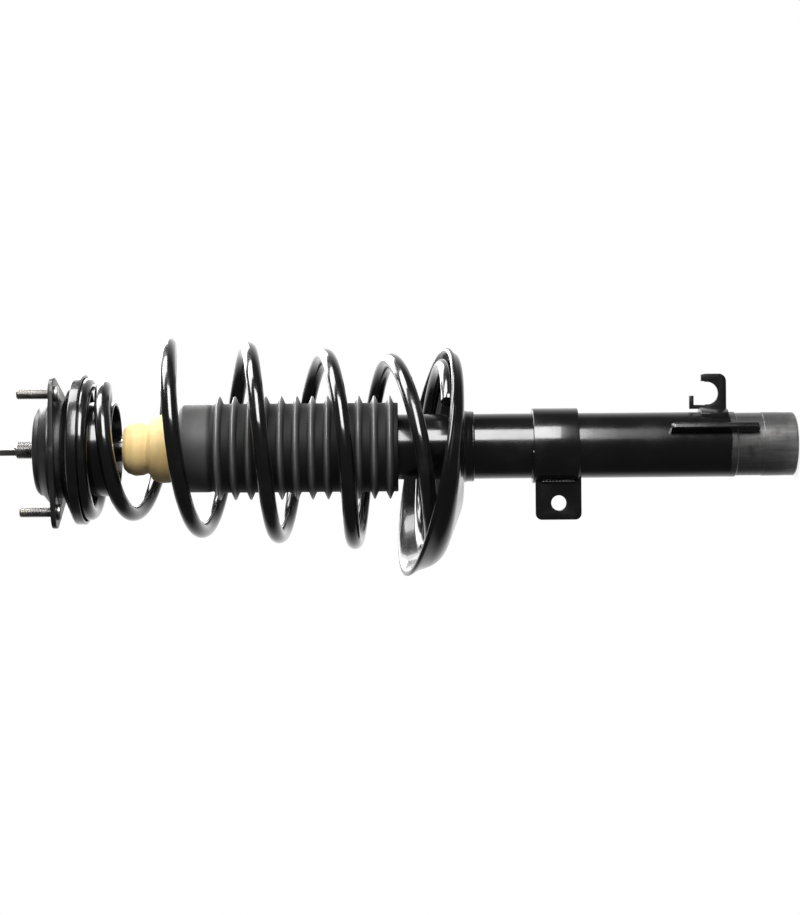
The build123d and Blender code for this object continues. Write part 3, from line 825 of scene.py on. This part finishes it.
# ---------------------------------------------------------------- upper seat
def build_upper_seat():
    floor_z, wall_r, cup_r, cup_wall = 570.0, 41.5, 37.5, 2.4
    cone_r, cone_z, cone_t, lip_bottom = 57.5, 573.0, 2.7, 564.1
    lathe("upper_spring_seat_cup", [
        (cup_r - cup_wall, SEAT_MOUTH, 0.9), (cup_r, SEAT_MOUTH, 1.1), (cup_r, floor_z - 1, 1.5),
        (wall_r + 0.5, floor_z, 1.5), (wall_r + 1.0, SEAT_TOP - cone_t - 0.6, 1.5),
        (cone_r, cone_z - cone_t, 1.6), (cone_r, lip_bottom, 0.9), (SEAT_LIP_R - 0.05, lip_bottom, 1.1),
        (SEAT_LIP_R - 0.05, cone_z - 1.5, 1.6), (cone_r, cone_z, 2.2), (wall_r, SEAT_TOP - 0.05, 1.2),
        (wall_r - 2.4, SEAT_TOP - 0.05, 1.0), (wall_r - 2.4, floor_z + 3, 0.8), (22, floor_z + 3, 0.8),
        (22, floor_z, 0.8), (cup_r - cup_wall, floor_z, 1.2),
    ], "upper_seat", PAINT, ("upper_spring_seat",), segments=128, sharp=40)
    lathe("upper_spring_pad_ring", [
        (44.1, 569.45, 0.6), (57.2, 569.45, 0.3), (57.2, 570.2, 0.3), (44.1, 575.9, 0.6),
    ], "upper_seat", PAD, ("upper_spring_pad",), segments=96)


build_upper_seat()


# ---------------------------------------------------------------- top mount
def build_mount():
    lathe("mount_cover_dome", [
        (33.0, PLATE_HIGH, 0.2), (46.0, PLATE_HIGH, 0.8), (46.0, 590.3, 1.2), (39.0, 596.0, 2.5),
        (36.8, 598.0, 1.5), (36.2, 600.5, 1.6), (34.2, HUB_TOP, 2.0), (19.0, HUB_TOP, 1.0),
        (19.0, 600.4, 0.8), (32.9, 600.4, 1.0), (33.8, 597.8, 1.0), (36.0, 595.0, 1.5),
        (41.5, 590.8, 0.8), (41.5, 590.2, 0.2), (33.0, 590.2, 0.3),
    ], "top_mount", SATIN, ("mount_cover",), segments=128, sharp=40)
    lathe("mount_rubber_bush", [
        (13.6, 586.1, 0.6), (32.3, 586.1, 0.8), (32.3, 600.0, 1.4), (20.6, 600.0, 1.6),
        (19.6, 592.3, 0.8), (24.0, 592.3, 0.3), (24.0, 589.3, 0.3), (13.6, 589.3, 0.3),
    ], "top_mount", PAD, ("mount_rubber",), segments=96)
    from_cad("mount_plate", "top_mount", SATIN, 1.0)
    parts = []
    sides = 36
    for angle in STUD_ANGLES:
        x, y = polar(STUD_PITCH_R, angle)
        head = lathe_mesh(rounded([
            (0.01, 581.6, 0), (6.3, 581.6, 0.5), (6.4, 583.9, 0.5), (0.01, 583.9, 0)]), sides)
        collar = lathe_mesh(rounded([
            (0.01, 583.5, 0), (4.6, 583.5, 0.2), (4.5, 588.6, 0.3), (0.01, 588.6, 0)]), sides)
        shank = thread_mesh(STUD_R, 1.25, PLATE_HIGH + 0.3, STUD_TOP, 0.62)
        parts += [moved(head, x, y), moved(collar, x, y), moved(shank, x, y)]
    verts, faces = merged(parts)
    piece("mount_studs_m8", verts, faces, "top_mount", ZINC, ("mount_studs",), sharp=40)


def build_rod():
    """Chrome rod, its thread, and the drive flats at the tip."""
    bottom = span("piston_rod")[0].z
    lathe("piston_rod_chrome", [
        (0.01, bottom, 0), (6.0, bottom, 0.4), (6.0, 334, 0.1), (ROD_R, 334, 0.6), (ROD_R, 578, 0.4),
        (6.3, 578, 0.1), (6.3, 606.0, 0.1), (0.01, 606.0, 0),
    ], "top_mount", CHROME, ("piston_rod",), segments=64)
    shank = thread_mesh(7.0, 1.5, 590.0, 620.0, 0.8, 56)
    neck = lathe_mesh(rounded([(0.01, 619.0, 0), (5.2, 619.0, 0.3), (4.6, 621.5, 0.5), (0.01, 621.5, 0)]), 48)
    verts, rings, sides = [], [(620.5, 4.4), (633.8, 4.4), (634.9, 3.6)], 48
    for z, flat in rings:
        for k in range(sides):
            a = 2 * math.pi * k / sides
            sector = (a + math.pi / 6) % (math.pi / 3) - math.pi / 6
            r = min(flat / math.cos(sector), flat * 1.11)
            verts.append((r * math.cos(a), r * math.sin(a), z))
    faces = grid_faces(len(rings), sides, closed_rings=False)
    faces += [tuple(range(sides)), tuple(2 * sides + k for k in range(sides))]
    verts, faces = merged([shank, neck, (verts, faces)])
    piece("piston_rod_thread", verts, faces, "top_mount", ZINC, sharp=30)


build_mount()
build_rod()
from_cad("rod_nut", "top_mount", ZINC, 0.5)


# ---------------------------------------------------------------- camera, floor and light
def build_stage():
    floor_gap = 1.6           # the end cap stands out this far below the tube
    floor_z = TUBE_BOTTOM - floor_gap
    bm = bmesh.new()
    bmesh.ops.create_circle(bm, cap_ends=True, cap_tris=False, segments=96, radius=0.09)
    mesh = bpy.data.meshes.new("floor")
    bm.to_mesh(mesh)
    bm.free()
    floor = bpy.data.objects.new("floor", mesh)
    floor.location = (0, 0, floor_z * MM)
    bpy.context.scene.collection.objects.link(floor)
    s = Shader("floor_white", Roughness=0.9, Specular_IOR_Level=0.0)
    s.bsdf.inputs["Emission Color"].default_value = (1, 1, 1, 1)
    s.bsdf.inputs["Emission Strength"].default_value = 0.55
    s.colour(s.mix(s.noise(14.0, 2.0), (0.86, 0.86, 0.86), (0.95, 0.95, 0.95)))
    distance = s.add("ShaderNodeVectorMath", operation="LENGTH")
    s.link(s.place, distance.inputs[0])
    s.link(s.spread(distance.outputs["Value"], 0.03, 0.085, 0.4, 0.0), s.bsdf.inputs["Alpha"])
    mesh.materials.append(s.material)


def area_light(name, spot, target, size, power):
    data = bpy.data.lights.new(name, "AREA")
    data.shape = "RECTANGLE"
    data.size, data.size_y = size
    data.energy = power
    lamp = bpy.data.objects.new(name, data)
    bpy.context.scene.collection.objects.link(lamp)
    aim = Vector(target) - Vector(spot)
    lamp.matrix_world = Matrix.Translation(spot) @ aim.to_track_quat("-Z", "Y").to_matrix().to_4x4()


def build_light():
    world = bpy.data.worlds.new("studio")
    bpy.context.scene.world = world
    world.use_nodes = True
    tree = world.node_tree
    background = tree.nodes["Background"]
    place = tree.nodes.new("ShaderNodeTexCoord")
    split = tree.nodes.new("ShaderNodeSeparateXYZ")
    tree.links.new(place.outputs["Generated"], split.inputs[0])
    ramp = tree.nodes.new("ShaderNodeMapRange")
    ramp.inputs["From Min"].default_value = 0.35
    ramp.inputs["From Max"].default_value = 0.95
    ramp.inputs["To Min"].default_value = 0.07
    ramp.inputs["To Max"].default_value = 1.0
    tree.links.new(split.outputs["Y"], ramp.inputs["Value"])
    rays = tree.nodes.new("ShaderNodeLightPath")
    pick = tree.nodes.new("ShaderNodeMix")
    tree.links.new(rays.outputs["Is Camera Ray"], pick.inputs[0])
    tree.links.new(ramp.outputs["Result"], pick.inputs[2])
    pick.inputs[3].default_value = 1.0
    tree.links.new(pick.outputs[0], background.inputs["Strength"])
    background.inputs["Color"].default_value = (1, 1, 1, 1)
    middle = (0, 0, 0.33)
    # long softbox beside the viewer, parallel to the strut
    area_light("strip", (0.82, -0.94, 0.38), middle, (0.85, 0.70), 28)
    # panel over the coils, which lights them and the bowl of the lower seat from the top mount's end
    area_light("end_panel", (1.00, 0.00, 1.05), middle, (0.60, 1.00), 24)
    area_light("back_panel", (0.55, 1.00, 1.00), middle, (0.90, 0.90), 15)


def build_camera():
    distance = 1.7
    picture_width = 0.732
    data = bpy.data.cameras.new("camera")
    data.sensor_width = 36.0
    data.lens = 36.0 * distance / picture_width
    camera = bpy.data.objects.new("camera", data)
    bpy.context.scene.collection.objects.link(camera)
    # the strut lies across the picture: picture right is -Z and picture up is +X
    axes = Matrix(((0, 1, 0), (0, 0, -1), (-1, 0, 0)))
    roll = Matrix.Rotation(math.radians(-0.49), 3, "Z")
    camera.matrix_world = Matrix.Translation((-0.0084, -distance, 0.3136)) @ (axes @ roll).to_4x4()
    bpy.context.scene.camera = camera


build_stage()
build_light()
build_camera()
bpy.context.scene.view_settings.view_transform = "Standard"
